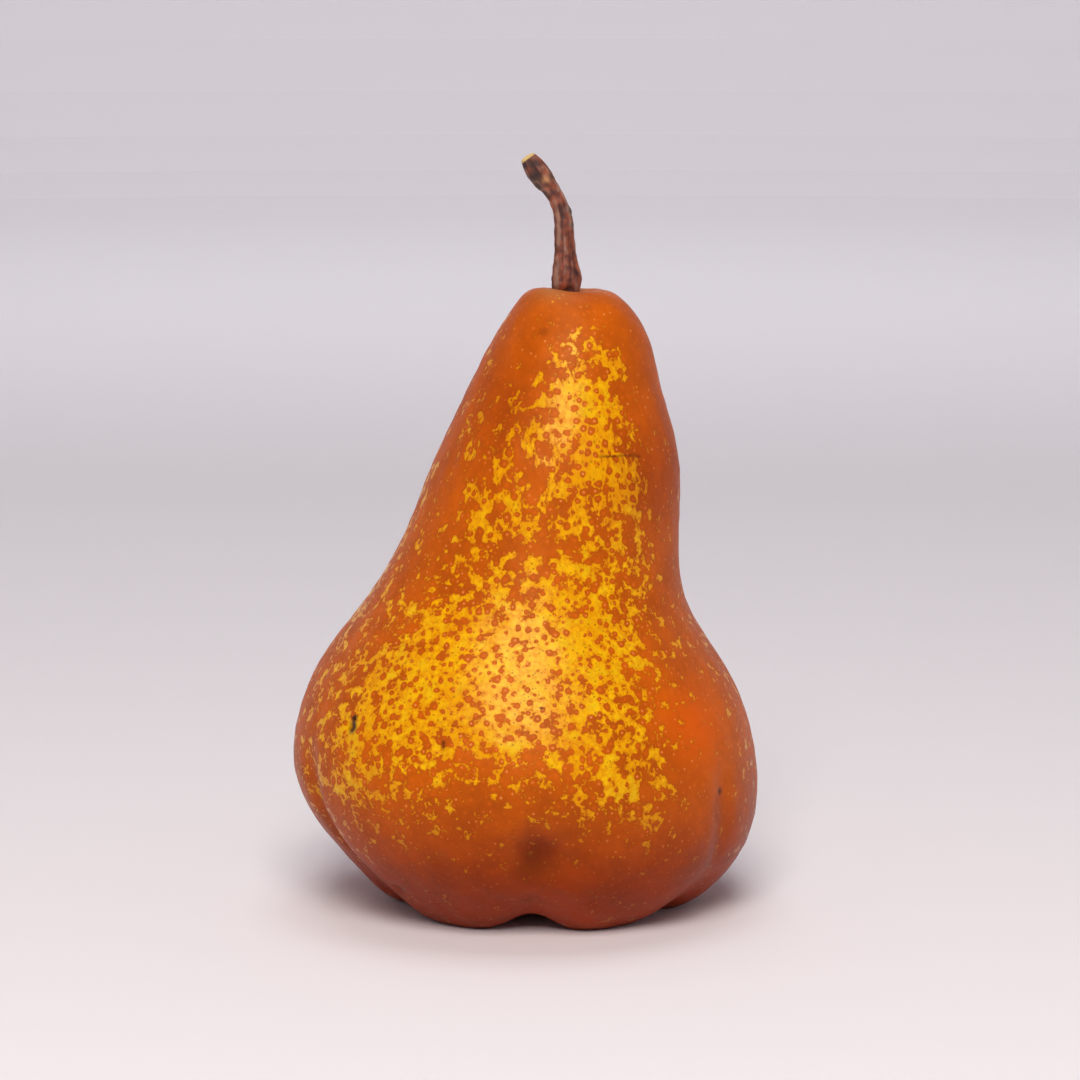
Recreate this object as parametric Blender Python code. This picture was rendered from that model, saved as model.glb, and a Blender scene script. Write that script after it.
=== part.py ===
"""A russeted pear standing on its calyx end.

Eight pieces: the fruit, its woody stem in the socket at the top, and, in the basin
underneath, the five dried sepals and the tuft of withered stamens they ring.
Lengths are in millimetres until a mesh is made. The origin is on the resting plane,
under the middle of the belly. +Z is up and -Y is the side with the deepest furrow.
"""

import math

import bpy
import bmesh
import numpy as np

MM = 0.001
WELD = 0.00001  # points of one pole, met by every quad of its ring

# The fruit's profile, from the stem socket down to the middle of the calyx basin:
# radius, height, and how far the ring's centre leans towards +X.
SOCKET_FLOOR = (0.0, 97.5, 7.0)
SOCKET_RIM = (4.5, 100.0, 7.0)
SHOULDER = (10.5, 96.0, 7.5)
UPPER_NECK = (15.5, 85.0, 6.5)
MIDDLE_NECK = (20.0, 73.0, 5.0)
LOWER_NECK = (22.2, 61.5, 2.8)
WAIST = (26.5, 49.5, 0.0)
UPPER_BELLY = (34.5, 36.5, -0.5)
BELLY = (37.8, 23.0, 0.0)
LOWER_BELLY = (35.0, 12.0, 2.0)
FOOT_EDGE = (28.8, 4.0, 2.7)
FOOT = (22.2, -0.5, 2.0)
BASIN_WALL = (13.0, 2.0, 2.0)
BASIN_TURN = (6.5, 6.6, 2.0)
BASIN_FLOOR = (0.0, 8.0, 2.0)
PROFILE = (
    SOCKET_FLOOR,
    SOCKET_RIM,
    SHOULDER,
    UPPER_NECK,
    MIDDLE_NECK,
    LOWER_NECK,
    WAIST,
    UPPER_BELLY,
    BELLY,
    LOWER_BELLY,
    FOOT_EDGE,
    FOOT,
    BASIN_WALL,
    BASIN_TURN,
    BASIN_FLOOR,
)
DEPTH_RATIO = 0.965  # front to back, against side to side

# Five furrows part the foot into lobes: azimuth and half width in degrees, depth.
FURROWS = (
    (268.0, 13.0, 2.9),
    (203.0, 12.0, 2.2),
    (328.0, 10.0, 1.7),
    (52.0, 13.0, 2.0),
    (130.0, 12.0, 2.2),
)
FURROW_RADIUS = 19.0  # of the ring where the furrows are deepest
FURROW_FADE = 9.0  # radial distance over which they fade out inside that ring
FURROW_TOP = 24.0  # height above which the skin is smooth

# The dent above the front furrow: azimuth, height, half width, depth.
DENT = (274.0, 15.0, 5.5, 2.0)

FRUIT_ROWS = 56
FRUIT_SIDES = 48

# The stem's middle line and its radius, from the socket to the cut tip.
STEM_ROUTE = (
    (6.9, 0.0, 98.6, 1.7),
    (6.6, 0.0, 100.9, 2.5),
    (6.4, 0.0, 104.0, 1.85),
    (6.2, 0.1, 108.0, 1.55),
    (5.9, 0.3, 112.3, 1.5),
    (4.6, 0.6, 115.5, 1.4),
    (3.1, 0.7, 117.5, 1.7),
    (1.7, 0.6, 119.3, 1.85),
    (0.2, 0.3, 121.4, 1.1),
)
STEM_ROWS = 26
STEM_SIDES = 14

SEPAL_COUNT = 5
SEPAL_RING = 2.3  # from the basin's middle to a sepal's root
SEPAL_LENGTH = 5.0
SEPAL_WIDTH = 2.5
SEPAL_THICKNESS = 0.6
SEPAL_CURL = math.radians(65.0)  # how far the tip has bent outwards
SEPAL_ROWS = 7
SEPAL_SIDES = 10

TUFT_RADIUS = 1.25
TUFT_LENGTH = 2.6
TUFT_ROWS = 6
TUFT_SIDES = 12

GAP = 0.4  # between the basin and what is fixed in it


def through(points, count):
    """Points along the natural cubic spline through the given ones, spaced along its chords."""
    points = np.array(points, float)
    steps = np.linalg.norm(np.diff(points[:, :-1], axis=0), axis=1)
    knots = np.concatenate(([0.0], np.cumsum(steps)))
    last = len(points) - 1
    system = np.eye(last + 1)
    right = np.zeros_like(points)
    slopes = np.diff(points, axis=0) / steps[:, None]
    for i in range(1, last):
        system[i, i - 1 : i + 2] = steps[i - 1], 2 * (steps[i - 1] + steps[i]), steps[i]
        right[i] = 6 * (slopes[i] - slopes[i - 1])
    bends = np.linalg.solve(system, right)
    along = np.linspace(0, knots[-1], count)
    i = np.clip(np.searchsorted(knots, along, side="right") - 1, 0, last - 1)
    step = steps[i][:, None]
    after = (along - knots[i])[:, None] / step
    before = 1 - after
    cubic = (before**3 - before) * bends[i] + (after**3 - after) * bends[i + 1]
    return before * points[i] + after * points[i + 1] + step**2 / 6 * cubic


def fruit_profile():
    """Radius, height and lean down the fruit, with the outward normal's two parts."""
    mirrored = [(-radius, height, lean) for radius, height, lean in (SOCKET_RIM, BASIN_TURN)]
    whole = through((mirrored[0], *PROFILE, mirrored[1]), FRUIT_ROWS * 12)
    inside = np.flatnonzero(whole[:, 0] > 0)
    half = whole[inside[0] : inside[-1] + 1]
    run = np.concatenate(([0.0], np.cumsum(np.hypot(*np.diff(half[:, :2], axis=0).T))))
    even = np.linspace(0, run[-1], FRUIT_ROWS)
    radius, height, lean = (np.interp(even, run, column) for column in half.T)
    out, up = -np.gradient(height), np.gradient(radius)
    size = np.hypot(out, up)
    return radius, height, lean, out / size, up / size


def furrow_depth(radius, height, azimuth):
    """How far the five furrows sink the skin on each ring and at each azimuth."""
    outer = np.clip(1 - height / FURROW_TOP, 0, 1) ** 1.5
    inner = np.exp(-(((radius - FURROW_RADIUS) / FURROW_FADE) ** 2)) * (height < FURROW_TOP)
    share = np.where(radius > FURROW_RADIUS, outer, inner)
    around = np.zeros_like(azimuth)
    for middle, half_width, depth in FURROWS:
        turn = (np.degrees(azimuth) - middle + 180) % 360 - 180
        around += depth * np.exp(-((turn / half_width) ** 2))
    return share[:, None] * around


def fruit_rings():
    """The skin as rows of points round the axis, flat where a lobe meets the ground."""
    radius, height, lean, out, up = fruit_profile()
    azimuth = np.linspace(0, 2 * math.pi, FRUIT_SIDES, endpoint=False)
    sink = furrow_depth(radius, height, azimuth)
    reach = radius[:, None] - sink * out[:, None]
    x = lean[:, None] + reach * np.cos(azimuth)
    y = DEPTH_RATIO * reach * np.sin(azimuth)
    z = height[:, None] - sink * up[:, None]

    angle, level, half_width, depth = DENT
    row = np.argmin(np.where(radius > FURROW_RADIUS, abs(height - level), np.inf))
    column = round(angle / 360 * FRUIT_SIDES)
    middle = (x[row, column], y[row, column], z[row, column])
    away = (x - middle[0]) ** 2 + (y - middle[1]) ** 2 + (z - middle[2]) ** 2
    y += depth * np.exp(-away / half_width**2)
    return np.stack([x, y, np.maximum(z, 0)], axis=-1)


def tube_rings(route, count, sides):
    """Rings of the route's radius, square to its middle line."""
    line = through(route, count)
    along = np.gradient(line[:, :3], axis=0)
    along /= np.linalg.norm(along, axis=1)[:, None]
    side = np.cross(along, (0.0, 1.0, 0.0))
    side /= np.linalg.norm(side, axis=1)[:, None]
    front = np.cross(side, along)
    turn = np.linspace(0, 2 * math.pi, sides, endpoint=False)[None, :, None]
    circle = np.cos(turn) * side[:, None] - np.sin(turn) * front[:, None]
    return line[:, None, :3] + line[:, None, 3:] * circle


def sepal_rings():
    """A dried sepal: a tongue that starts downwards, curls outwards along +X and tapers."""
    bend = np.linspace(0, SEPAL_CURL, SEPAL_ROWS)
    arc = SEPAL_LENGTH / SEPAL_CURL
    middle = np.stack([arc * (1 - np.cos(bend)), 0 * bend, -arc * np.sin(bend)], axis=-1)
    outward = np.stack([np.cos(bend), 0 * bend, np.sin(bend)], axis=-1)
    left = 1 - np.linspace(0, 0.93, SEPAL_ROWS) ** 1.6
    turn = np.linspace(0, 2 * math.pi, SEPAL_SIDES, endpoint=False)
    across = SEPAL_WIDTH / 2 * left[:, None] * np.sin(turn)
    through_it = SEPAL_THICKNESS / 2 * np.sqrt(left)[:, None] * np.cos(turn)
    rings = middle[:, None] + through_it[..., None] * outward[:, None]
    rings[..., 1] += across
    return rings


def tuft_rings():
    """The withered stamens as one soft cone with a rounded end, hanging down."""
    down = np.linspace(0, 1, TUFT_ROWS)
    spread = TUFT_RADIUS * np.sqrt(1 - 0.9 * down**2)
    turn = np.linspace(0, 2 * math.pi, TUFT_SIDES, endpoint=False)
    x = spread[:, None] * np.cos(turn)
    y = spread[:, None] * np.sin(turn)
    z = np.repeat(-TUFT_LENGTH * down[:, None], TUFT_SIDES, axis=1)
    return np.stack([x, y, z], axis=-1)


def skin_object(name, rings, look, place=(0.0, 0.0, 0.0), turn=0.0):
    """One closed body over the rings, each end closed by a fan, standing at its place."""
    model = bmesh.new()
    loops = [[model.verts.new(point * MM) for point in ring] for ring in rings]
    for upper, lower in zip(loops, loops[1:]):
        for i in range(len(upper)):
            j = (i + 1) % len(upper)
            model.faces.new((upper[i], lower[i], lower[j], upper[j]))
    bmesh.ops.remove_doubles(model, verts=model.verts, dist=WELD)
    bmesh.ops.holes_fill(model, edges=model.edges)
    ends = [face for face in model.faces if len(face.verts) > 4]
    bmesh.ops.poke(model, faces=ends)
    bmesh.ops.recalc_face_normals(model, faces=model.faces)
    mesh = bpy.data.meshes.new(name)
    model.to_mesh(mesh)
    model.free()
    mesh.shade_smooth()
    mesh.materials.append(look)
    made = bpy.data.objects.new(name, mesh)
    made.location = [length * MM for length in place]
    made.rotation_euler = (0.0, 0.0, turn)
    bpy.context.scene.collection.objects.link(made)
    return made


def make_look(name, colour, roughness):
    """A plain surface of one colour."""
    look = bpy.data.materials.new(name)
    look.use_nodes = True
    surface = look.node_tree.nodes["Principled BSDF"]
    surface.inputs["Base Color"].default_value = (*colour, 1.0)
    surface.inputs["Roughness"].default_value = roughness
    surface.inputs["Metallic"].default_value = 0.0
    return look


def build():
    for old in list(bpy.data.objects):
        bpy.data.objects.remove(old)
    pear = bpy.data.objects.new("pear", None)
    bpy.context.scene.collection.objects.link(pear)

    skin = make_look("russet_skin", (0.62, 0.28, 0.02), 0.42)
    bark = make_look("stem_bark", (0.10, 0.035, 0.02), 0.6)
    dry_leaf = make_look("dried_calyx", (0.05, 0.025, 0.012), 0.8)

    pieces = [skin_object("fruit", fruit_rings(), skin)]

    foot = np.array(STEM_ROUTE[0])
    route = np.array(STEM_ROUTE) - (*foot[:3], 0.0)
    stem = tube_rings(route, STEM_ROWS, STEM_SIDES)
    pieces.append(skin_object("stem", stem, bark, foot[:3]))

    height, lean = BASIN_FLOOR[1:]
    for i in range(SEPAL_COUNT):
        turn = 2 * math.pi * (i + 0.25) / SEPAL_COUNT
        place = (
            lean + SEPAL_RING * math.cos(turn),
            SEPAL_RING * math.sin(turn),
            height - GAP - SEPAL_THICKNESS,
        )
        pieces.append(skin_object(f"sepal_{i + 1}", sepal_rings(), dry_leaf, place, turn))
    pieces.append(skin_object("stamen_tuft", tuft_rings(), dry_leaf, (lean, 0.0, height - GAP)))
    for piece in pieces:
        piece.parent = pear


build()
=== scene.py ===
import math

import bpy
import numpy as np
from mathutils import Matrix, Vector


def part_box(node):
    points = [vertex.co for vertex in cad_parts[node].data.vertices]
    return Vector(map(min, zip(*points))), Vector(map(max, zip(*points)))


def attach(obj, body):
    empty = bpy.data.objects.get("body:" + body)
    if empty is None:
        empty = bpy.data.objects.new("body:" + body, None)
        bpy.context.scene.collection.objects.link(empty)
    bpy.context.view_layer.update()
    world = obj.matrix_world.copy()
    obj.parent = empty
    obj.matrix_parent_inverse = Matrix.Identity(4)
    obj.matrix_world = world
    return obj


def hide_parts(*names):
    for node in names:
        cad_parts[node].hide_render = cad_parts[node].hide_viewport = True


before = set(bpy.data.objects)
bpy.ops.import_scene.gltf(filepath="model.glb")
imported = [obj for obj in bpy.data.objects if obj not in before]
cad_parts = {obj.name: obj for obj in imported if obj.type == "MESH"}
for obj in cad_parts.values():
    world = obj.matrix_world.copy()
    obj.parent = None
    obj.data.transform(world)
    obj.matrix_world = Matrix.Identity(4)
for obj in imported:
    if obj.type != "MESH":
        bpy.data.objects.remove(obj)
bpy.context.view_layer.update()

# ---- The fruit --------------------------------------------------------------------
# One whole pear, flesh under a thin skin. The skin is golden yellow where it shows and
# overgrown with orange-brown russet, a fine natural cork, and with lenticels, the
# breathing pores. It stands on the lobes round its calyx end and grew round its stem.

MM = 0.001

# Radius, height and lean to +X, from the stem socket to the calyx basin, in mm.
FRUIT_PROFILE = (
    (0.0, 97.5, 7.0),  # socket floor
    (4.5, 100.0, 7.0),  # socket rim
    (10.5, 96.0, 7.5),  # shoulder
    (15.5, 85.0, 6.5),  # neck, upper
    (20.0, 73.0, 5.0),  # neck, middle
    (22.2, 61.5, 2.8),  # neck, lower
    (26.5, 49.5, 0.0),  # waist
    (34.5, 36.5, -0.5),  # belly, upper
    (37.8, 23.0, 0.0),  # belly, widest
    (35.0, 12.0, 2.0),  # belly, lower
    (28.8, 4.0, 2.7),  # foot's edge
    (22.2, -0.5, 2.0),  # foot
    (13.0, 2.0, 2.0),  # basin wall
    (6.5, 6.6, 2.0),  # basin turn
    (0.0, 8.0, 2.0),  # basin floor
)
DEPTH_RATIO = 0.965
FRUIT_ROWS = 320
FRUIT_SIDES = 302

# The furrows of the foot: azimuth and half width in degrees, depth in mm.
FURROWS = (
    (268.0, 13.0, 2.9),
    (203.0, 12.0, 2.2),
    (328.0, 10.0, 1.7),
    (52.0, 13.0, 2.0),
    (130.0, 12.0, 2.2),
)
FURROW_RADIUS = 19.0
FURROW_FADE = 9.0
FURROW_TOP = 24.0
# Narrow creases that run up from two of them: azimuth, half width, depth, middle, reach.
CREASES = ((204.0, 3.5, 1.5, 18.0, 10.0), (327.0, 3.5, 0.8, 18.0, 8.0))
# Dents, with the place of each on the skin: x, y, z, half width, depth, all in mm.
DENTS = (
    (2.3, -34.5, 15.0, 5.5, 2.6),  # above the front furrow
    (-27.4, -22.6, 33.6, 0.8, 0.9),  # a puncture
    (-20.3, -19.4, 6.2, 1.2, 0.6),  # a rub by the foot
    (-12.7, -33.0, 31.9, 0.5, 0.4),  # a small crack
)
LIP = (3.6, -2.6, 99.6, 4.0, 0.7)  # the flesh swollen up beside the stem


def through(points, count):
    """Points along the natural cubic spline through the given ones, evenly spaced along
    the straight lines that join them: the curve that bends least on its way."""
    points = np.array(points, float)
    steps = np.linalg.norm(np.diff(points[:, :-1], axis=0), axis=1)
    knots_and_shade = np.concatenate(([0.0], np.cumsum(steps)))
    last = len(points) - 1
    system = np.eye(last + 1)
    right = np.zeros_like(points)
    slopes = np.diff(points, axis=0) / steps[:, None]
    for i in range(1, last):
        system[i, i - 1 : i + 2] = steps[i - 1], 2 * (steps[i - 1] + steps[i]), steps[i]
        right[i] = 6 * (slopes[i] - slopes[i - 1])
    bends = np.linalg.solve(system, right)
    along = np.linspace(0, knots_and_shade[-1], count)
    i = np.clip(np.searchsorted(knots_and_shade, along, side="right") - 1, 0, last - 1)
    step = steps[i][:, None]
    after = (along - knots_and_shade[i])[:, None] / step
    before = 1 - after
    cubic = (before**3 - before) * bends[i] + (after**3 - after) * bends[i + 1]
    return before * points[i] + after * points[i + 1] + step**2 / 6 * cubic


def ripples(points, lengths, count, seed):
    """Soft seamless unevenness, about -1 to 1: a sum of plane waves in random directions,
    whose wavelengths are drawn evenly between the two given lengths."""
    random = np.random.default_rng(seed)
    ways = random.normal(size=(count, 3))
    ways /= np.linalg.norm(ways, axis=1)[:, None]
    ways *= 2 * math.pi / random.uniform(*lengths, count)[:, None]
    phase = random.uniform(0, 2 * math.pi, count)
    total = np.zeros(points.shape[:-1])
    for way, start in zip(ways, phase):
        total += np.sin(points @ way + start)
    return total / math.sqrt(count)


def smooth(low, high, value):
    """0 below low, 1 above high, and an S-shaped cubic between them."""
    share = np.clip((value - low) / (high - low), 0, 1)
    return share * share * (3 - 2 * share)


def outward(grid):
    """Unit normals of a grid closed round its columns: the cross product of its two slopes."""
    around = np.roll(grid, -1, axis=1) - np.roll(grid, 1, axis=1)
    along = np.gradient(grid, axis=0)
    normal = np.cross(along, around)
    return normal / (np.linalg.norm(normal, axis=-1)[..., None] + 1e-12)


def fruit_grid():
    """The skin as rows of points. Each ring has the profile's radius about a leaning
    axis; the furrows, creases and dents then push it in, ripples roughen it, and what
    would reach below the ground is pressed flat on it."""
    beyond = [(-FRUIT_PROFILE[i][0], *FRUIT_PROFILE[i][1:]) for i in (1, -2)]
    whole = through((beyond[0], *FRUIT_PROFILE, beyond[1]), FRUIT_ROWS * 12)
    inside = np.flatnonzero(whole[:, 0] > 0)
    half = whole[inside[0] : inside[-1] + 1]
    run = np.concatenate(([0.0], np.cumsum(np.hypot(*np.diff(half[:, :2], axis=0).T))))
    even = np.linspace(0, run[-1], FRUIT_ROWS)
    radius, height, lean = (np.interp(even, run, column)[:, None] for column in half.T)
    out = -np.gradient(height[:, 0])[:, None]
    up = np.gradient(radius[:, 0])[:, None]
    size = np.hypot(out, up)

    azimuth = np.linspace(0, 2 * math.pi, FRUIT_SIDES, endpoint=False)[None, :]
    outer = np.clip(1 - height / FURROW_TOP, 0, 1) ** 1.5
    inner = np.exp(-(((radius - FURROW_RADIUS) / FURROW_FADE) ** 2)) * (height < FURROW_TOP)
    share = np.where(radius > FURROW_RADIUS, outer, inner)
    sink = np.zeros((FRUIT_ROWS, FRUIT_SIDES))
    for middle, half_width, depth in FURROWS:
        turn = (np.degrees(azimuth) - middle + 180) % 360 - 180
        sink += share * depth * np.exp(-((turn / half_width) ** 2))
    for middle, half_width, depth, level, reach in CREASES:
        turn = (np.degrees(azimuth) - middle + 180) % 360 - 180
        there = np.exp(-((turn / half_width) ** 2) - ((height - level) / reach) ** 4)
        sink += depth * there * (radius > FURROW_RADIUS)

    wide = radius - sink * out / size
    x = lean + wide * np.cos(azimuth)
    y = DEPTH_RATIO * wide * np.sin(azimuth)
    z = height - sink * up / size
    grid = np.stack([x, y, z], axis=-1)
    normal = outward(grid)
    for *place, half_width, depth in DENTS:
        away = np.sum((grid - place) ** 2, axis=-1)
        middle = grid.reshape(-1, 3)[np.argmin(away)]
        away = np.sum((grid - middle) ** 2, axis=-1)
        grid -= (depth * np.exp(-away / half_width**2))[..., None] * normal
    *place, half_width, depth = LIP
    away = np.sum((grid - place) ** 2, axis=-1)
    grid += (depth * np.exp(-away / half_width**2))[..., None] * normal

    lumps = 0.16 * (ripples(grid, (14.0, 30.0), 24, 3) - 1.2)
    pebbles = 0.035 * (ripples(grid, (2.2, 5.0), 40, 4) - 1.0)
    calm = smooth(0.0, 3.0, radius)[..., None]  # the poles stay in one point
    grid += calm * (lumps + pebbles)[..., None] * normal
    grid[..., 2] = np.maximum(grid[..., 2], 0)
    return grid


def without_repeats(grid):
    """A grid's rows in a list, with its first and last row as the one point each is."""
    return np.concatenate([grid[:1, 0], grid[1:-1].reshape(-1, *grid.shape[2:]), grid[-1:, 0]])


def grid_mesh(name, grid):
    """A closed mesh over a grid whose columns go round and whose first and last rows
    have each shrunk to a point."""
    rows, sides = grid.shape[:2]
    points = without_repeats(grid)
    ring = np.arange(sides)
    after = (ring + 1) % sides
    start = 1 + sides * np.arange(rows - 3)[:, None]
    quads = np.stack(
        [start + ring, start + sides + ring, start + sides + after, start + after], axis=-1
    )
    final = 1 + sides * (rows - 3)
    top = np.stack([0 * ring, 1 + ring, 1 + after], axis=-1)
    base = np.stack([final + after, final + ring, 0 * ring + len(points) - 1], axis=-1)
    faces = quads.reshape(-1, 4).tolist() + top.tolist() + base.tolist()
    mesh = bpy.data.meshes.new(name)
    mesh.from_pydata(points * MM, [], faces)
    mesh.shade_smooth()
    return mesh


def place(name, mesh, material, node, slot):
    """A finished piece in the scene, standing for one CAD node and moving with the root."""
    piece = bpy.data.objects.new(name, mesh)
    bpy.context.scene.collection.objects.link(piece)
    mesh.materials.append(material)
    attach(piece, "root")
    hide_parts(node)
    return piece


def points_of(mesh):
    """The mesh's points in mm."""
    flat = np.empty(len(mesh.vertices) * 3, np.float32)
    mesh.vertices.foreach_get("co", flat)
    return flat.reshape(-1, 3).astype(float) / MM


def store(mesh, name, kind, domain, values):
    """Keeps values on the mesh for its material to read."""
    layer = mesh.attributes.new(name, kind, domain)
    field = {"FLOAT": "value", "FLOAT_VECTOR": "vector", "FLOAT_COLOR": "color"}[kind]
    layer.data.foreach_set(field, np.ascontiguousarray(values, np.float32).ravel())


fruit_skin_grid = fruit_grid()
fruit_mesh = grid_mesh("pear_fruit", fruit_skin_grid)

# How thickly russet grew where, from 0 for half covered: the whole fruit's share, and
# then each patch that has more, or less where the last value is negative. A patch has
# its azimuth in degrees, height, half width and half height in mm, and amount.
RUSSET_SHARE = 0.45
RUSSET_PATCHES = (
    (285, 98, 9, 4, 0.9),  # russet shoulder by the stem
    (280, 85, 6, 15, -1.2),  # bare streak down the front of the neck
    (300, 70, 7, 10, -0.8),  # the streak's end, further right
    (225, 92, 6, 8, 0.7),  # russet, upper left of the neck
    (330, 88, 9, 18, 0.6),  # russet, right of the neck
    (238, 74, 6, 7, -0.5),  # flecked, left of the neck
    (242, 66, 6, 4, -0.8),  # bare, lower left of the neck
    (220, 68, 6, 7, 0.6),  # russet, left flank of the neck
    (340, 60, 9, 12, 0.6),  # russet, right flank of the waist
    (265, 46, 15, 11, -1.1),  # bare top of the belly
    (300, 46, 12, 13, -0.9),  # the same, further right
    (230, 36, 14, 10, -1.0),  # bare left of the belly
    (268, 34, 14, 7, -0.5),  # flecked middle of the belly
    (298, 26, 10, 9, -0.9),  # bare, low on the right
    (322, 34, 9, 12, 0.7),  # blushed russet on the right flank
    (225, 23, 14, 8, -0.5),  # flecked above the foot, left
    (320, 15, 20, 16, 0.5),  # russet foot, right
    (250, 10, 24, 16, 0.5),  # russet foot, left
    (60, 14, 22, 16, 0.6),  # russet foot, back
    (172, 60, 9, 14, -0.6),  # the left side and the back, in the same manner
    (150, 88, 4, 10, -0.9),
    (135, 45, 18, 12, -0.9),
    (118, 68, 7, 9, -0.8),
    (100, 30, 13, 8, -0.8),
    (88, 52, 9, 10, 0.5),
    (72, 80, 6, 12, -0.9),
    (55, 42, 15, 13, -1.0),
    (30, 60, 8, 8, -0.5),
    (20, 33, 9, 7, -0.6),
    (160, 22, 12, 9, 0.3),
)


def russet_cover(grid):
    """The share at each point: the fruit's own, plus each patch's amount times a bell of
    the way from its middle, measured round the fruit and up it."""
    way = grid - grid.mean(axis=1, keepdims=True)
    radius = np.hypot(way[..., 0], way[..., 1])
    azimuth = np.arctan2(way[..., 1], way[..., 0])
    cover = np.full(radius.shape, RUSSET_SHARE)
    for middle, level, half_width, half_height, amount in RUSSET_PATCHES:
        turn = (azimuth - math.radians(middle) + math.pi) % (2 * math.pi) - math.pi
        across = radius * turn / half_width
        up = (grid[..., 2] - level) / half_height
        cover += amount * np.exp(-(across**2) - up**2)
    return cover


# Single marks: x, y, z, half width in mm and strength, by what they are.
CORK_LIPS = ((4.6, -4.0, 99.0, 3.0, 0.8), (11.5, -2.0, 98.5, 2.2, 0.4), (8.0, 4.0, 98.8, 3.5, 0.6))
BLUSHES = ((26.0, -22.0, 33.0, 6.5, 0.9), (35.0, 0.0, 26.0, 9.0, 0.35), (10.0, 33.0, 20.0, 9.0, 0.5))
# Painted shade in the front hollow first, then brown tone on the neck in two places.
HOLLOW_SHADE_AND_NECK_TONE = ((2.3, -33.0, 15.0, 6.0, 1.0), (-6.0, -14.0, 84.0, 9.0, 0.35), (20.0, -8.0, 72.0, 10.0, 0.45))
BRUISES_AND_HOLLOW_SHADE = (
    (-27.4, -22.6, 33.4, 1.1, 1.0),
    (-27.2, -22.9, 34.7, 0.8, 0.9),
    (-20.3, -19.4, 6.2, 1.1, 1.0),
    (31.7, -19.8, 22.5, 0.8, 0.7),
    (2.8, -32.2, 38.2, 0.35, 0.7),
    # these two are painted shade in the front hollow and the furrow below it
    (1.6, -32.0, 13.5, 6.2, 0.43),
    (0.5, -27.0, 6.5, 3.5, 0.36),
    (3.0, -10.0, 94.5, 1.6, 0.35),
)


def marks_at(points, marks):
    """The strongest of the given marks at each point, each a bell about its place."""
    found = np.zeros(len(points))
    for *middle, half_width, strength in marks:
        nearest = np.argmin(np.sum((points - middle) ** 2, axis=1))
        away = np.sum((points - points[nearest]) ** 2, axis=1)
        found = np.maximum(found, strength * np.exp(-away / half_width**2))
    return found


# Lenticels: never nearer than LENTICEL_SPACING to each other, in mm.
LENTICEL_SPACING = 0.95
LENTICEL_TRIES = 0.50  # places tried on each square millimetre
LENTICEL_RADII = (0.35, 0.75)


def scatter_lenticels(grid):
    """Places on the skin: random points drawn evenly over its area, of which each one
    stays that has no earlier one within the spacing."""
    random = np.random.default_rng(11)
    after = np.roll(grid, -1, axis=1)
    corner, beside, below = grid[:-1], after[:-1], grid[1:]
    area = np.linalg.norm(np.cross(beside - corner, below - corner), axis=-1)
    count = int(LENTICEL_TRIES * area.sum())
    cell = random.choice(area.size, count, p=area.ravel() / area.sum())
    row, side = np.unravel_index(cell, area.shape)
    across, down = random.random((2, count, 1))
    tried = (
        corner[row, side]
        + across * (beside[row, side] - corner[row, side])
        + down * (below[row, side] - corner[row, side])
    )
    squares = np.sum(tried**2, axis=1)
    kept = np.ones(count, bool)
    for start in range(0, count, 1000):
        some = slice(start, start + 1000)
        away = squares[some, None] + squares[None] - 2 * tried[some] @ tried.T
        earlier = np.arange(count)[None] < np.arange(count)[some, None]
        kept[some] = ~((away < LENTICEL_SPACING**2) & earlier).any(axis=1)
    radii = random.uniform(*LENTICEL_RADII, count)
    tone = random.random(count)
    return tried[kept], radii[kept], tone[kept]


def store_lenticels(mesh, centres, radii, tone):
    """For every face, its two nearest lenticels: each face corner keeps the way from the
    lenticel's middle in lenticel radii, so its round outline is exact at any size, and
    its tone. Nearness is the distance from the face's middle, less a share of the radius."""
    middles = np.empty(len(mesh.polygons) * 3, np.float32)
    mesh.polygons.foreach_get("center", middles)
    middles = middles.reshape(-1, 3) / MM
    squares = np.sum(centres**2, axis=1).astype(np.float32)
    spots = centres.astype(np.float32)
    nearest = np.empty((len(middles), 2), int)
    for start in range(0, len(middles), 4000):
        some = middles[start : start + 4000]
        away = np.sum(some**2, axis=1)[:, None] + squares[None] - 2 * some @ spots.T
        away = np.sqrt(np.maximum(away, 0)) / radii[None]
        two = np.argpartition(away, 1, axis=1)[:, :2]
        order = np.argsort(np.take_along_axis(away, two, axis=1), axis=1)
        nearest[start : start + 4000] = np.take_along_axis(two, order, axis=1)
    loops = np.empty(len(mesh.loops), np.int32)
    mesh.loops.foreach_get("vertex_index", loops)
    sizes = np.empty(len(mesh.polygons), np.int32)
    mesh.polygons.foreach_get("loop_total", sizes)
    corners = points_of(mesh)[loops]
    for name, column in (("lenticel_near", 0), ("lenticel_next", 1)):
        which = np.repeat(nearest[:, column], sizes)
        way = (corners - centres[which]) / radii[which, None]
        values = np.concatenate([way, tone[which, None]], axis=1)
        store(mesh, name, "FLOAT_COLOR", "CORNER", values)


def line_at(points, start, end, half_width):
    """A thin scar: a bell of the distance from the straight line between its two ends."""
    start, way = np.array(start), np.subtract(end, start)
    share = np.clip((points - start) @ way / (way @ way), 0, 1)
    away = np.sum((points - start - share[:, None] * way)[:, ::2] ** 2, axis=1)
    return np.exp(-away / half_width**2) * (points[:, 1] < 0)


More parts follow.
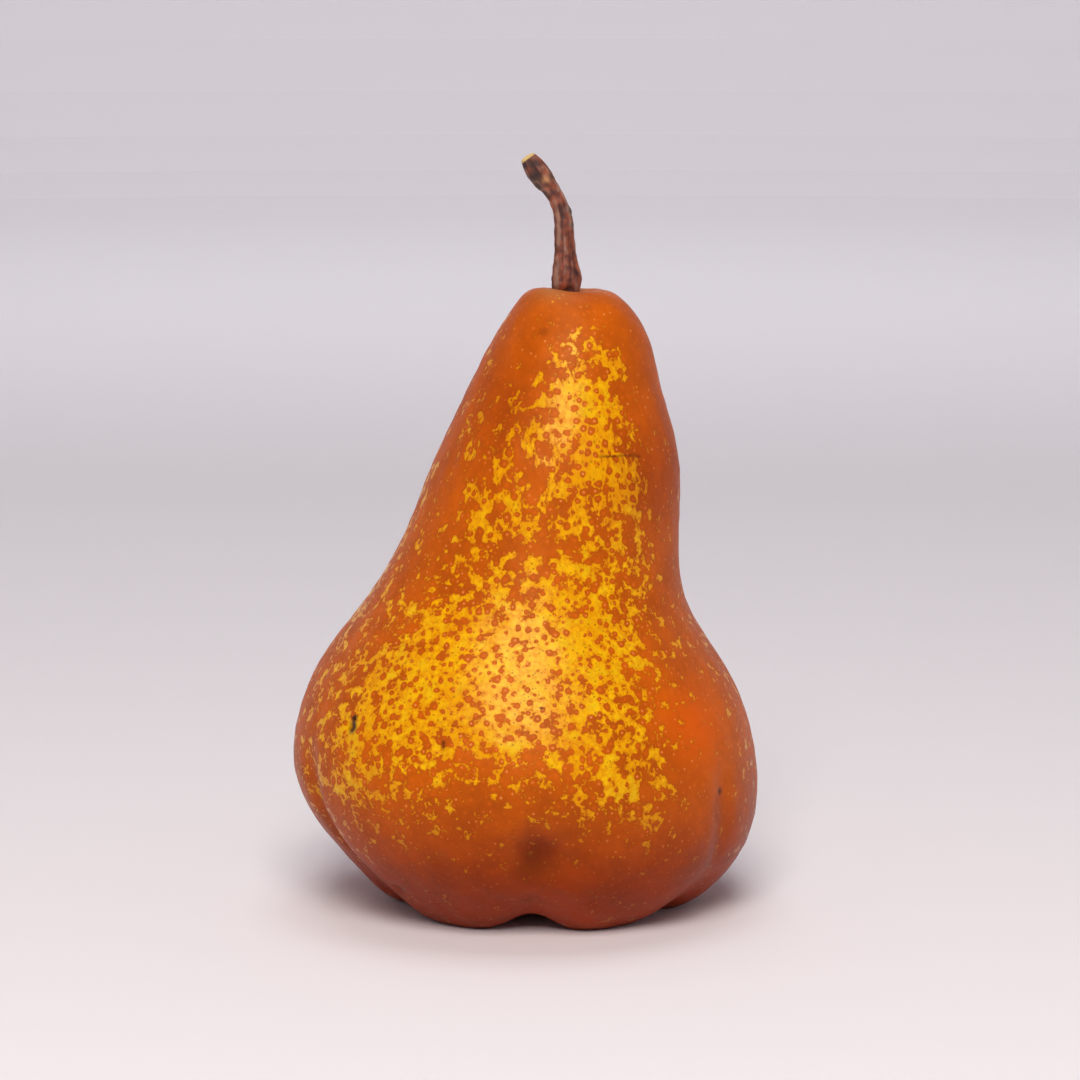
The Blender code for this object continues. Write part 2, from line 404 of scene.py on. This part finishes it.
SCRATCH = ((11.8, -17.4, 75.6), (18.2, -13.8, 75.1), 0.30)
CRACK = ((-12.5, -33.0, 33.0), (-13.1, -33.1, 30.6), 0.38)
fruit_points = points_of(fruit_mesh)
bruises_and_shade = marks_at(fruit_points, BRUISES_AND_HOLLOW_SHADE)
for mark in (SCRATCH, CRACK):
    bruises_and_shade = np.maximum(bruises_and_shade, 0.6 * line_at(fruit_points, *mark))
cover = without_repeats(russet_cover(fruit_skin_grid))
store(fruit_mesh, "russet_cover", "FLOAT", "POINT", cover)
skin_marks_and_shade = np.stack(
    [
        marks_at(fruit_points, CORK_LIPS),
        marks_at(fruit_points, BLUSHES),
        bruises_and_shade,
        # Painted shade: darker towards the calyx, where shade falls under the fruit, and in the front
        # hollow; the same channel browns two places on the neck.
        np.maximum(marks_at(fruit_points, HOLLOW_SHADE_AND_NECK_TONE), smooth(30, 5, fruit_points[:, 2])),
    ],
    axis=1,
)
store(fruit_mesh, "skin_marks_and_shade", "FLOAT_COLOR", "POINT", skin_marks_and_shade)
# The neck grew longer after its skin had set, so patterns there are drawn out upwards.
NECK_START = 52.0
NECK_STRETCH = 0.25
drawn_out = fruit_points.copy()
above = np.maximum(fruit_points[:, 2] - NECK_START, 0)
drawn_out[:, 2] -= above * NECK_STRETCH * smooth(0, 30, above)
store(fruit_mesh, "grown_place", "FLOAT_VECTOR", "POINT", drawn_out)
store_lenticels(fruit_mesh, *scatter_lenticels(fruit_skin_grid))


def linear(code):
    """An sRGB hex colour as the linear colour that a shader takes."""
    srgb = np.array([int(code[i : i + 2], 16) / 255 for i in (1, 3, 5)])
    low = srgb / 12.92
    high = ((srgb + 0.055) / 1.055) ** 2.4
    return (*np.where(srgb <= 0.04045, low, high).tolist(), 1.0)


def add(tree, kind, inputs=None, **settings):
    """A node with its settings, and each input set to a value or joined to an output."""
    made = tree.nodes.new("ShaderNode" + kind)
    for name, value in settings.items():
        setattr(made, name, value)
    for socket, value in (inputs or {}).items():
        if isinstance(value, bpy.types.NodeSocket):
            tree.links.new(value, made.inputs[socket])
        else:
            made.inputs[socket].default_value = value
    return made.outputs


MIX_A, MIX_B, MIX_OUT = 6, 7, 2  # a Mix node's colour sockets


def russeted_skin():
    """Pear skin, grown and never polished. Waxy yellow cuticle gives a broad satin gloss;
    the russet is dull cork in ragged islands that spread from the lenticels."""
    material = bpy.data.materials.new("russeted_pear_skin")
    material.use_nodes = True
    tree = material.node_tree
    surface = tree.nodes["Principled BSDF"]

    where = add(tree, "Attribute", attribute_name="grown_place")["Vector"]
    cover = add(tree, "Attribute", attribute_name="russet_cover")["Fac"]
    stored = add(tree, "Attribute", attribute_name="skin_marks_and_shade")
    marks = add(tree, "SeparateColor", {0: stored["Color"]})
    # The alpha holds painted shade and neck tone; the blue holds the hurts and painted shade in the front
    # hollow.
    shade_and_tone = stored["Alpha"]
    cork, blush, bruise_and_shade = marks[0], marks[1], marks[2]

    # Noise scales are one over the size of a blotch in millimetres.
    islands = {"Vector": where, "Scale": 1 / 2.0, "Detail": 3.0, "Roughness": 0.6}
    blotches = add(tree, "TexNoise", islands)[0]
    crumbs = {"Vector": where, "Scale": 1 / 0.75, "Detail": 3.0, "Roughness": 0.65}
    grains = add(tree, "TexNoise", crumbs)[0]
    grain_push = add(tree, "Math", {0: grains, 1: -0.5}, operation="ADD")[0]

    halo = None
    cores = []
    for name in ("lenticel_near", "lenticel_next"):
        spot = add(tree, "Attribute", attribute_name=name)
        away = add(tree, "VectorMath", {0: spot["Vector"]}, operation="LENGTH")["Value"]
        ragged = add(tree, "Math", {0: grain_push, 1: 1.3, 2: away}, operation="MULTIPLY_ADD")[0]
        fade = {"Value": ragged, "From Min": 1.25, "From Max": 0.35}
        disc = add(tree, "MapRange", fade, interpolation_type="SMOOTHSTEP")[0]
        if halo is None:
            halo = disc
        else:
            halo = add(tree, "Math", {0: halo, 1: disc}, operation="MAXIMUM")[0]
        cores.append((away, spot["Alpha"]))

    # Where the sum of cover, blotches, grain and halo is above nothing, russet has grown.
    field = add(tree, "Math", {0: blotches, 1: -0.5}, operation="ADD")[0]
    field = add(tree, "Math", {0: field, 1: 6.2, 2: cover}, operation="MULTIPLY_ADD")[0]
    field = add(tree, "Math", {0: grain_push, 1: 2.4, 2: field}, operation="MULTIPLY_ADD")[0]
    field = add(tree, "Math", {0: halo, 1: 1.4, 2: field}, operation="MULTIPLY_ADD")[0]
    edge = {"Value": field, "From Min": -0.30, "From Max": 0.22}
    russet = add(tree, "MapRange", edge, interpolation_type="SMOOTHSTEP")[0]

    # Yellow ground: gold, paler and greener in soft clouds, with pin-prick olive specks.
    clouds = add(tree, "TexNoise", {"Vector": where, "Scale": 1 / 7.0, "Detail": 3.0})[0]
    clouds = add(tree, "MapRange", {"Value": clouds, "From Min": 0.35, "From Max": 0.65})[0]
    yellow = {0: clouds, MIX_A: linear("#EAA400"), MIX_B: linear("#F4BE0C")}
    yellow = add(tree, "Mix", yellow, data_type="RGBA")[MIX_OUT]
    green = add(tree, "TexNoise", {"Vector": where, "Scale": 1 / 3.7, "Detail": 2.0})[0]
    green = add(tree, "MapRange", {"Value": green, "From Min": 0.52, "From Max": 0.70, "To Max": 0.35})[0]
    yellow = {0: green, MIX_A: yellow, MIX_B: linear("#D2BC18")}
    yellow = add(tree, "Mix", yellow, data_type="RGBA")[MIX_OUT]
    freckle_place = {"Vector": where, "Scale": 1 / 0.85, "Randomness": 1.0}
    freckles = add(tree, "TexVoronoi", freckle_place)["Distance"]
    freckles = {"Value": freckles, "From Min": 0.27, "From Max": 0.14, "To Max": 0.75}
    freckles = add(tree, "MapRange", freckles)[0]
    yellow = {0: freckles, MIX_A: yellow, MIX_B: linear("#8A5200")}
    yellow = add(tree, "Mix", yellow, data_type="RGBA")[MIX_OUT]
    mottle = {"Value": grains, "From Min": 0.40, "From Max": 0.62, "To Max": 0.45}
    mottle = add(tree, "MapRange", mottle)[0]
    yellow = {0: mottle, MIX_A: yellow, MIX_B: linear("#C98A06")}
    yellow = add(tree, "Mix", yellow, data_type="RGBA")[MIX_OUT]

    # Russet: burnt orange, browner in patches and along its thin edges.
    patches = {"Vector": where, "Scale": 1 / 9.0, "Detail": 6.0, "Roughness": 0.7}
    patches = add(tree, "TexNoise", patches)[0]
    patches = add(tree, "MapRange", {"Value": patches, "From Min": 0.36, "From Max": 0.64})[0]
    brown = {0: patches, MIX_A: linear("#AE4B00"), MIX_B: linear("#CC5C00")}
    brown = add(tree, "Mix", brown, data_type="RGBA")[MIX_OUT]
    brown = {0: blush, MIX_A: brown, MIX_B: linear("#DC5A00")}
    brown = add(tree, "Mix", brown, data_type="RGBA")[MIX_OUT]
    rim = {"Value": field, "From Min": 0.55, "From Max": 0.05, "To Max": 0.45}
    rim = add(tree, "MapRange", rim, interpolation_type="SMOOTHSTEP")[0]
    brown = {0: rim, MIX_A: brown, MIX_B: linear("#983E00")}
    brown = add(tree, "Mix", brown, data_type="RGBA")[MIX_OUT]
    haze = {"Value": field, "From Min": -1.3, "From Max": 0.0, "To Max": 0.75}
    haze = add(tree, "MapRange", haze, interpolation_type="SMOOTHSTEP")[0]
    yellow = {0: haze, MIX_A: yellow, MIX_B: linear("#DC8200")}
    yellow = add(tree, "Mix", yellow, data_type="RGBA")[MIX_OUT]
    colour = {0: russet, MIX_A: yellow, MIX_B: brown}
    colour = add(tree, "Mix", colour, data_type="RGBA")[MIX_OUT]

    # Each lenticel's middle is a warm dot, and the open ones have a pale pore in it.
    pores = None
    for away, tone in cores:
        warm = {"Value": away, "From Min": 0.55, "From Max": 0.28, "To Max": 0.5}
        warm = add(tree, "MapRange", warm, interpolation_type="SMOOTHSTEP")[0]
        colour = {0: warm, MIX_A: colour, MIX_B: linear("#D4640A")}
        colour = add(tree, "Mix", colour, data_type="RGBA")[MIX_OUT]
        pore = {"Value": away, "From Min": 0.34, "From Max": 0.16}
        pore = add(tree, "MapRange", pore, interpolation_type="SMOOTHSTEP")[0]
        open_ones = add(tree, "MapRange", {"Value": tone, "From Min": 0.5, "From Max": 1.2})[0]
        pore = add(tree, "Math", {0: pore, 1: open_ones}, operation="MULTIPLY")[0]
        colour = {0: pore, MIX_A: colour, MIX_B: linear("#E39A55")}
        colour = add(tree, "Mix", colour, data_type="RGBA")[MIX_OUT]
        pores = pore if pores is None else add(tree, "Math", {0: pores, 1: pore}, operation="MAXIMUM")[0]

    # Painted shade: it darkens towards the calyx and in the front hollow, where shade falls, and two
    # marks brown the neck.
    darkened = {0: 1.0, MIX_A: colour, MIX_B: linear("#C08C4C")}
    darkened = add(tree, "Mix", darkened, data_type="RGBA", blend_type="MULTIPLY")[MIX_OUT]
    colour = {0: shade_and_tone, MIX_A: colour, MIX_B: darkened}
    colour = add(tree, "Mix", colour, data_type="RGBA")[MIX_OUT]

    # Cork on the lips of the stem socket, dark marks where the skin was hurt, and painted shade in the
    # front hollow and the furrow below it.
    colour = {0: cork, MIX_A: colour, MIX_B: linear("#B9763F")}
    colour = add(tree, "Mix", colour, data_type="RGBA")[MIX_OUT]
    scab_and_shade = {"Value": bruise_and_shade, "From Min": 0.15, "From Max": 0.7}
    scab_and_shade = add(tree, "MapRange", scab_and_shade, interpolation_type="SMOOTHSTEP")[0]
    colour = {0: scab_and_shade, MIX_A: colour, MIX_B: linear("#3A1602")}
    colour = add(tree, "Mix", colour, data_type="RGBA")[MIX_OUT]
    tree.links.new(colour, surface.inputs["Base Color"])

    dullness = {"Value": russet, "To Min": 0.31, "To Max": 0.48}
    dullness = add(tree, "MapRange", dullness)[0]
    dullness = add(tree, "Math", {0: grain_push, 1: 0.25, 2: dullness}, operation="MULTIPLY_ADD")[0]
    tree.links.new(dullness, surface.inputs["Roughness"])
    surface.inputs["IOR"].default_value = 1.45
    surface.inputs["Specular IOR Level"].default_value = 0.35
    surface.inputs["Specular Tint"].default_value = linear("#FFD9A0")

    # Relief in millimetres: russet stands a little proud, pores are beads on it.
    height = add(tree, "Math", {0: russet, 1: 0.02}, operation="MULTIPLY")[0]
    height = add(tree, "Math", {0: pores, 1: 0.05, 2: height}, operation="MULTIPLY_ADD")[0]
    height = add(tree, "Math", {0: grains, 1: 0.06, 2: height}, operation="MULTIPLY_ADD")[0]
    bump = add(tree, "Bump", {"Height": height, "Distance": MM, "Strength": 0.8})[0]
    tree.links.new(bump, surface.inputs["Normal"])
    return material


place("pear_fruit", fruit_mesh, russeted_skin(), "fruit", "russet_skin")

# ---- The stem ---------------------------------------------------------------------
# A dried woody stalk, grown out of the socket: it flares at its root, bends at a knee
# with a bud scar, and ends in the pale face where it parted from the spur.

# The middle line and radius from the socket to the tip: x, y, z, radius, in mm.
STEM_ROUTE = (
    (6.9, 0.0, 98.6, 1.7),
    (6.6, 0.0, 100.9, 2.5),
    (6.4, 0.0, 104.0, 2.1),
    (6.2, 0.1, 108.0, 1.62),
    (5.9, 0.3, 112.3, 1.5),
    (4.6, 0.6, 115.5, 1.4),
    (3.1, 0.7, 117.5, 1.7),
    (1.7, 0.6, 119.3, 1.85),
    (0.2, 0.3, 121.4, 1.1),
)
STEM_ROWS = 300
STEM_SIDES = 96
STEM_WRINKLES = ((3, 0.05), (5, 0.035), (9, 0.03), (16, 0.016))  # folds round it, depth share


# Bud scars, knots and dark beads, and painted shade on the lower left of the knee: x, y, z, half width
# and how far each stands out, in mm. All are painted near black.
STEM_KNOTS_AND_SHADE = (
    (1.9, -0.6, 116.6, 1.1, 0.25),
    (7.3, -0.6, 112.8, 0.7, 0.35),
    (7.5, -0.5, 110.6, 0.6, 0.30),
    (4.9, -0.6, 118.6, 0.8, 0.20),
    (1.8, -1.6, 120.6, 0.7, 0.10),
    # painted shade on the lower left of the knee
    (1.0, -1.0, 117.9, 1.2, 0.05),
    (-0.3, -0.9, 119.9, 0.9, 0.05),
    (3.0, -0.6, 115.2, 0.7, 0.05),
)
STEM_SCAR = (3.4, -1.2, 117.7, 0.55)  # the pale middle of the bud scar


def stem_grid():
    """A tube along the route. Its radius is the route's, times one plus a sum of cosines
    of the angle that drift as they go up, which leaves long drying wrinkles."""
    line = through(STEM_ROUTE, STEM_ROWS)
    middle, radius = line[:, :3], line[:, 3:]
    along = np.gradient(middle, axis=0)
    along /= np.linalg.norm(along, axis=1)[:, None]
    side = np.cross(along, (0.0, 1.0, 0.0))
    side /= np.linalg.norm(side, axis=1)[:, None]
    front = np.cross(side, along)
    turn = np.linspace(0, 2 * math.pi, STEM_SIDES, endpoint=False)[None, :]
    up = np.linspace(0, 1, STEM_ROWS)[:, None]
    random = np.random.default_rng(5)
    swell = np.zeros((STEM_ROWS, STEM_SIDES))
    for folds, depth in STEM_WRINKLES:
        drift = np.interp(up, np.linspace(0, 1, 7), np.cumsum(random.normal(0, 0.55, 7)))
        swell += depth * np.cos(folds * turn + 3 * drift + random.uniform(0, 6))
    wide = radius * (0.94 + swell)
    ends = np.minimum(1, np.sqrt(np.minimum(up, (1 - up) * 2.5) * 60))
    wide = wide * np.where(up > 0.5, smooth(0, 0.012, 1 - up) ** 0.35, np.minimum(ends, 1))
    ring = np.cos(turn)[..., None] * side[:, None] - np.sin(turn)[..., None] * front[:, None]
    grid = middle[:, None] + wide[..., None] * ring
    for *knot_and_shade, half_width, height in STEM_KNOTS_AND_SHADE:
        away = np.sum((grid - knot_and_shade) ** 2, axis=-1)
        grid += (height * np.exp(-away / half_width**2))[..., None] * ring
    grid += 0.05 * ripples(grid, (0.7, 2.0), 30, 8)[..., None] * ring * (wide > 0.3)[..., None]
    return grid


def dried_stem():
    """Lignified stalk, dried to ridges: matt red-brown bark, greyer on worn ridges, with painted shade
    almost black in the folds and on the lower left of the knee, dark knots, and straw-coloured wood at
    the parted tip."""
    material = bpy.data.materials.new("dried_stem_bark")
    material.use_nodes = True
    tree = material.node_tree
    surface = tree.nodes["Principled BSDF"]
    where = add(tree, "TexCoord")["Object"]
    ridge = add(tree, "Attribute", attribute_name="ridge")["Fac"]
    knot_and_shade = add(tree, "Attribute", attribute_name="knot_and_shade")["Fac"]
    scar = add(tree, "Attribute", attribute_name="scar")["Fac"]
    tip = add(tree, "Attribute", attribute_name="tip")["Fac"]
    # Fibres 0.25 mm wide and some 3 mm long, along the stalk.
    fibre_place = add(tree, "Mapping", {"Vector": where, "Scale": (2600, 2600, 330)})[0]
    fibres = {"Vector": fibre_place, "Scale": 1.0, "Detail": 4.0, "Roughness": 0.6}
    fibres = add(tree, "TexNoise", fibres)[0]
    patches = {"Vector": where, "Scale": 600.0, "Detail": 4.0, "Roughness": 0.6}
    patches = add(tree, "TexNoise", patches)[0]
    tint = add(tree, "MapRange", {"Value": patches, "From Min": 0.4, "From Max": 0.62})[0]
    bark = {0: tint, MIX_A: linear("#57281A"), MIX_B: linear("#96492E")}
    bark = add(tree, "Mix", bark, data_type="RGBA")[MIX_OUT]
    worn = add(tree, "Math", {0: fibres, 1: 0.6, 2: ridge}, operation="MULTIPLY_ADD")[0]
    grey = {"Value": worn, "From Min": 0.8, "From Max": 1.25, "To Max": 0.6}
    grey = add(tree, "MapRange", grey)[0]
    bark = {0: grey, MIX_A: bark, MIX_B: linear("#A07A66")}
    bark = add(tree, "Mix", bark, data_type="RGBA")[MIX_OUT]
    # Painted shade: near black in the folds between the ridges, varied by the fibres.
    shade_and_tone = {"Value": worn, "From Min": 0.50, "From Max": 0.15, "To Max": 0.85}
    shade_and_tone = add(tree, "MapRange", shade_and_tone)[0]
    bark = {0: shade_and_tone, MIX_A: bark, MIX_B: linear("#1D0F0B")}
    bark = add(tree, "Mix", bark, data_type="RGBA")[MIX_OUT]
    # Knots and dark beads near black; those on the lower left of the knee are painted shade.
    bark = {0: knot_and_shade, MIX_A: bark, MIX_B: linear("#17100E")}
    bark = add(tree, "Mix", bark, data_type="RGBA")[MIX_OUT]
    bark = {0: scar, MIX_A: bark, MIX_B: linear("#C48C5C")}
    bark = add(tree, "Mix", bark, data_type="RGBA")[MIX_OUT]
    bark = {0: tip, MIX_A: bark, MIX_B: linear("#E0BC74")}
    bark = add(tree, "Mix", bark, data_type="RGBA")[MIX_OUT]
    tree.links.new(bark, surface.inputs["Base Color"])
    surface.inputs["Roughness"].default_value = 0.58
    bump = add(tree, "Bump", {"Height": fibres, "Distance": 0.15 * MM, "Strength": 0.9})[0]
    tree.links.new(bump, surface.inputs["Normal"])
    return material


stem_skin = stem_grid()
stem_mesh = grid_mesh("pear_stem", stem_skin[::-1])
stem_points = points_of(stem_mesh)
stem_line = through(STEM_ROUTE, STEM_ROWS)
nearest_row = np.argmin(
    np.linalg.norm(stem_points[:, None, ::2] - stem_line[None, ::3, :3:2], axis=-1), axis=1
)
stem_reach = np.linalg.norm(stem_points - stem_line[::3][nearest_row, :3], axis=1)
ridge_share = smooth(0.86, 1.06, stem_reach / stem_line[::3][nearest_row, 3])
store(stem_mesh, "ridge", "FLOAT", "POINT", ridge_share)
tip_share = smooth(0.98, 0.995, nearest_row / nearest_row.max())
store(stem_mesh, "tip", "FLOAT", "POINT", tip_share)
knots_and_shade = [(*knot_and_shade[:4], 0.85) for knot_and_shade in STEM_KNOTS_AND_SHADE]
store(stem_mesh, "knot_and_shade", "FLOAT", "POINT", marks_at(stem_points, knots_and_shade))
store(stem_mesh, "scar", "FLOAT", "POINT", marks_at(stem_points, [(*STEM_SCAR, 0.9)]))
place("pear_stem", stem_mesh, dried_stem(), "stem", "stem_bark")

# ---- The sepals -------------------------------------------------------------------
# Five leaf-like lobes left from the blossom, dried hard and curled outwards in the
# basin underneath. Each grows from the basin's floor.

SEPAL_COUNT = 5
SEPAL_LENGTH = 5.0
SEPAL_WIDTH = 2.5
SEPAL_THICKNESS = 0.6
SEPAL_CURL = math.radians(65.0)
SEPAL_ROWS = 60
SEPAL_SIDES = 40


def sepal_grid(root, turn, seed):
    """A tongue that follows an arc, downwards and then outwards. Its width falls off as a
    power of the length, its cross-section is a flat ellipse, and ripples crumple it."""
    along = np.linspace(0, 1, SEPAL_ROWS)[:, None]
    around = np.linspace(0, 2 * math.pi, SEPAL_SIDES, endpoint=False)[None, :]
    bend = SEPAL_CURL * along
    arc = SEPAL_LENGTH / SEPAL_CURL
    left = (1 - (0.93 * along) ** 1.6) * smooth(-0.02, 0.04, along) * smooth(1.0, 0.96, along) ** 0.5
    across = SEPAL_WIDTH / 2 * left * np.sin(around)
    thick = SEPAL_THICKNESS / 2 * np.sqrt(left) * np.cos(around) * 0.7
    cup = 0.35 * (across / (SEPAL_WIDTH / 2)) ** 2
    x = arc * (1 - np.cos(bend)) + (thick + cup) * np.cos(bend)
    y = across
    z = -arc * np.sin(bend) + (thick + cup) * np.sin(bend)
    grid = np.stack([x + 0 * y, y + 0 * x, z + 0 * y], axis=-1)
    crumple = ripples(grid, (0.8, 2.2), 20, seed)[..., None] * 0.07
    grid += crumple * left[..., None]
    cos, sin = math.cos(turn), math.sin(turn)
    turned = np.stack(
        [grid[..., 0] * cos - grid[..., 1] * sin, grid[..., 0] * sin + grid[..., 1] * cos, grid[..., 2]],
        axis=-1,
    )
    return turned + root


def dried_calyx():
    """Dead sepal and stamen tissue: dull umber, felted with grey hairs that catch light."""
    material = bpy.data.materials.new("dried_calyx_tissue")
    material.use_nodes = True
    tree = material.node_tree
    surface = tree.nodes["Principled BSDF"]
    where = add(tree, "TexCoord")["Object"]
    # Hairs and veins about 0.3 mm apart.
    felt = {"Vector": where, "Scale": 1 / (0.3 * MM), "Detail": 4.0, "Roughness": 0.7}
    felt = add(tree, "TexNoise", felt)[0]
    share = add(tree, "MapRange", {"Value": felt, "From Min": 0.42, "From Max": 0.66})[0]
    brown = {0: share, MIX_A: linear("#2C1A10"), MIX_B: linear("#7A5F49")}
    brown = add(tree, "Mix", brown, data_type="RGBA")[MIX_OUT]
    tree.links.new(brown, surface.inputs["Base Color"])
    surface.inputs["Roughness"].default_value = 0.85
    bump = add(tree, "Bump", {"Height": felt, "Distance": 0.12 * MM, "Strength": 1.0})[0]
    tree.links.new(bump, surface.inputs["Normal"])
    return material


calyx_look = dried_calyx()
tuft_low, tuft_high = (np.array(corner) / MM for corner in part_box("stamen_tuft"))
basin_middle = (tuft_low + tuft_high) / 2
SEPAL_RING = 2.3
SEPAL_DROP = 0.6
for i in range(SEPAL_COUNT):
    turn = 2 * math.pi * (i + 0.25) / SEPAL_COUNT
    root = np.array(
        [
            basin_middle[0] + SEPAL_RING * math.cos(turn),
            basin_middle[1] + SEPAL_RING * math.sin(turn),
            tuft_high[2] - SEPAL_DROP,
        ]
    )
    sepal = grid_mesh(f"dried_sepal_{i + 1}", sepal_grid(root, turn, 20 + i))
    place(f"dried_sepal_{i + 1}", sepal, calyx_look, f"sepal_{i + 1}", "dried_calyx")

# ---- The stamens ------------------------------------------------------------------
# The blossom's withered filaments, a tuft of thin threads with tiny dry anthers, in the
# middle of the sepals.

FILAMENT_COUNT = 22
FILAMENT_RADIUS = 0.11
FILAMENT_ROWS = 12
FILAMENT_SIDES = 8


def filament_grid(root, tip, seed):
    """A thin tube from root to tip that sways on the way, with a swollen end."""
    random = np.random.default_rng(seed)
    along = np.linspace(0, 1, FILAMENT_ROWS)[:, None]
    sway = random.normal(0, 0.22, 3) * [1, 1, 0]
    middle = root + along * (tip - root) + np.sin(math.pi * along) * sway
    radius = FILAMENT_RADIUS * (1 + 1.3 * smooth(0.72, 0.9, along))
    radius = radius * smooth(1.0, 0.94, along) ** 0.5 * smooth(-0.02, 0.02, along)
    radius[0] = radius[-1] = 0
    turn = np.linspace(0, 2 * math.pi, FILAMENT_SIDES, endpoint=False)
    ring = np.stack([np.cos(turn), np.sin(turn), 0 * turn], axis=-1)
    return middle[:, None] + radius[..., None] * ring[None]


random = np.random.default_rng(31)
filaments = []
for i in range(FILAMENT_COUNT):
    angle = i * math.radians(137.5)
    spread = math.sqrt((i + 0.5) / FILAMENT_COUNT)
    root = basin_middle + np.array([0.55 * spread * math.cos(angle), 0.55 * spread * math.sin(angle), 0])
    root[2] = tuft_high[2] - 0.05
    tip = basin_middle + np.array([spread * math.cos(angle), spread * math.sin(angle), 0])
    tip[2] = tuft_low[2] + random.uniform(0.05, 0.9)
    filaments.append(filament_grid(root, tip, 40 + i))
tuft = [grid_mesh(f"filament_{i}", grid) for i, grid in enumerate(filaments)]
import bmesh
bunch = bmesh.new()
for thread in tuft:
    bunch.from_mesh(thread)
    bpy.data.meshes.remove(thread)
tuft_mesh = bpy.data.meshes.new("withered_stamens")
bunch.to_mesh(tuft_mesh)
bunch.free()
place("withered_stamens", tuft_mesh, calyx_look, "stamen_tuft", "dried_calyx")

# ---- Floor, light and camera ------------------------------------------------------
# A plain pale floor, one big soft light above and in front, and a weaker one behind.

FLOOR_RADIUS = 1.5  # m, where the paper starts to curve up all round
BEND_RADIUS, WALL_TOP = 0.6, 2.6
FLOOR_SIDES = 64
bend = np.linspace(0, math.pi / 2, 16)
wall = FLOOR_RADIUS + BEND_RADIUS
sweep_radius = np.concatenate(([0.4], FLOOR_RADIUS + BEND_RADIUS * np.sin(bend), [wall]))
sweep_height = np.concatenate(([0], BEND_RADIUS * (1 - np.cos(bend)), [WALL_TOP]))
turn = np.linspace(0, 2 * math.pi, FLOOR_SIDES, endpoint=False)
sweep = np.stack(
    [
        np.outer(sweep_radius, np.cos(turn)),
        np.outer(sweep_radius, np.sin(turn)),
        np.outer(sweep_height, np.ones(FLOOR_SIDES)),
    ],
    axis=-1,
)
ring = np.arange(FLOOR_SIDES)
after = (ring + 1) % FLOOR_SIDES
start = FLOOR_SIDES * np.arange(len(sweep) - 1)[:, None]
strips = np.stack(
    [start + ring, start + FLOOR_SIDES + ring, start + FLOOR_SIDES + after, start + after], axis=-1
)
floor_mesh = bpy.data.meshes.new("floor")
floor_faces = [ring.tolist()] + strips.reshape(-1, 4).tolist()
floor_mesh.from_pydata(sweep.reshape(-1, 3), [], floor_faces)
floor = bpy.data.objects.new("floor", floor_mesh)
bpy.context.scene.collection.objects.link(floor)
paper = bpy.data.materials.new("floor_paper")
paper.use_nodes = True
paper_surface = paper.node_tree.nodes["Principled BSDF"]
paper_surface.inputs["Base Color"].default_value = linear("#F2EEF0")
paper_surface.inputs["Roughness"].default_value = 0.9
floor_mesh.materials.append(paper)


def soft_light(name, place, aim, size, power, colour):
    """A square soft light at a place, turned to its aim."""
    lamp = bpy.data.lights.new(name, "AREA")
    lamp.shape = "SQUARE"
    lamp.size = size
    lamp.energy = power
    lamp.color = linear(colour)[:3]
    shown = bpy.data.objects.new(name, lamp)
    shown.location = place
    away = np.array(place) - np.array(aim)
    turn = math.atan2(away[1], away[0])
    tilt = math.atan2(math.hypot(away[0], away[1]), away[2])
    shown.rotation_euler = (0, tilt, turn)
    bpy.context.scene.collection.objects.link(shown)


soft_light("key_light", (-0.02, -0.68, 0.73), (0, 0, 0.05), 0.45, 7.2, "#FFFAF4")
soft_light("top_light", (0.0, 0.4, 2.2), (0, 0.2, 0.0), 1.2, 13.0, "#F8F8FF")
soft_light("wall_light", (0.0, 0.8, 1.0), (0, 2.0, 0.6), 1.0, 5.0, "#F8F8FF")
world = bpy.data.worlds.new("studio")
world.use_nodes = True
world.node_tree.nodes["Background"].inputs["Color"].default_value = linear("#E4DDE2")
world.node_tree.nodes["Background"].inputs["Strength"].default_value = 0.06
bpy.context.scene.world = world
bpy.context.scene.view_settings.view_transform = "Standard"

CAMERA_DISTANCE = 0.65
CAMERA_PITCH = math.radians(9.0)
CAMERA_AIM = (0.0024, 0.0, 0.0595)
CAMERA_LENS = 134.0
lens = bpy.data.cameras.new("camera")
lens.lens = CAMERA_LENS
lens.sensor_width = 36.0
camera = bpy.data.objects.new("camera", lens)
camera.location = (
    CAMERA_AIM[0],
    CAMERA_AIM[1] - CAMERA_DISTANCE * math.cos(CAMERA_PITCH),
    CAMERA_AIM[2] + CAMERA_DISTANCE * math.sin(CAMERA_PITCH),
)
camera.rotation_euler = (math.pi / 2 - CAMERA_PITCH, 0, 0)
bpy.context.scene.collection.objects.link(camera)
bpy.context.scene.camera = camera
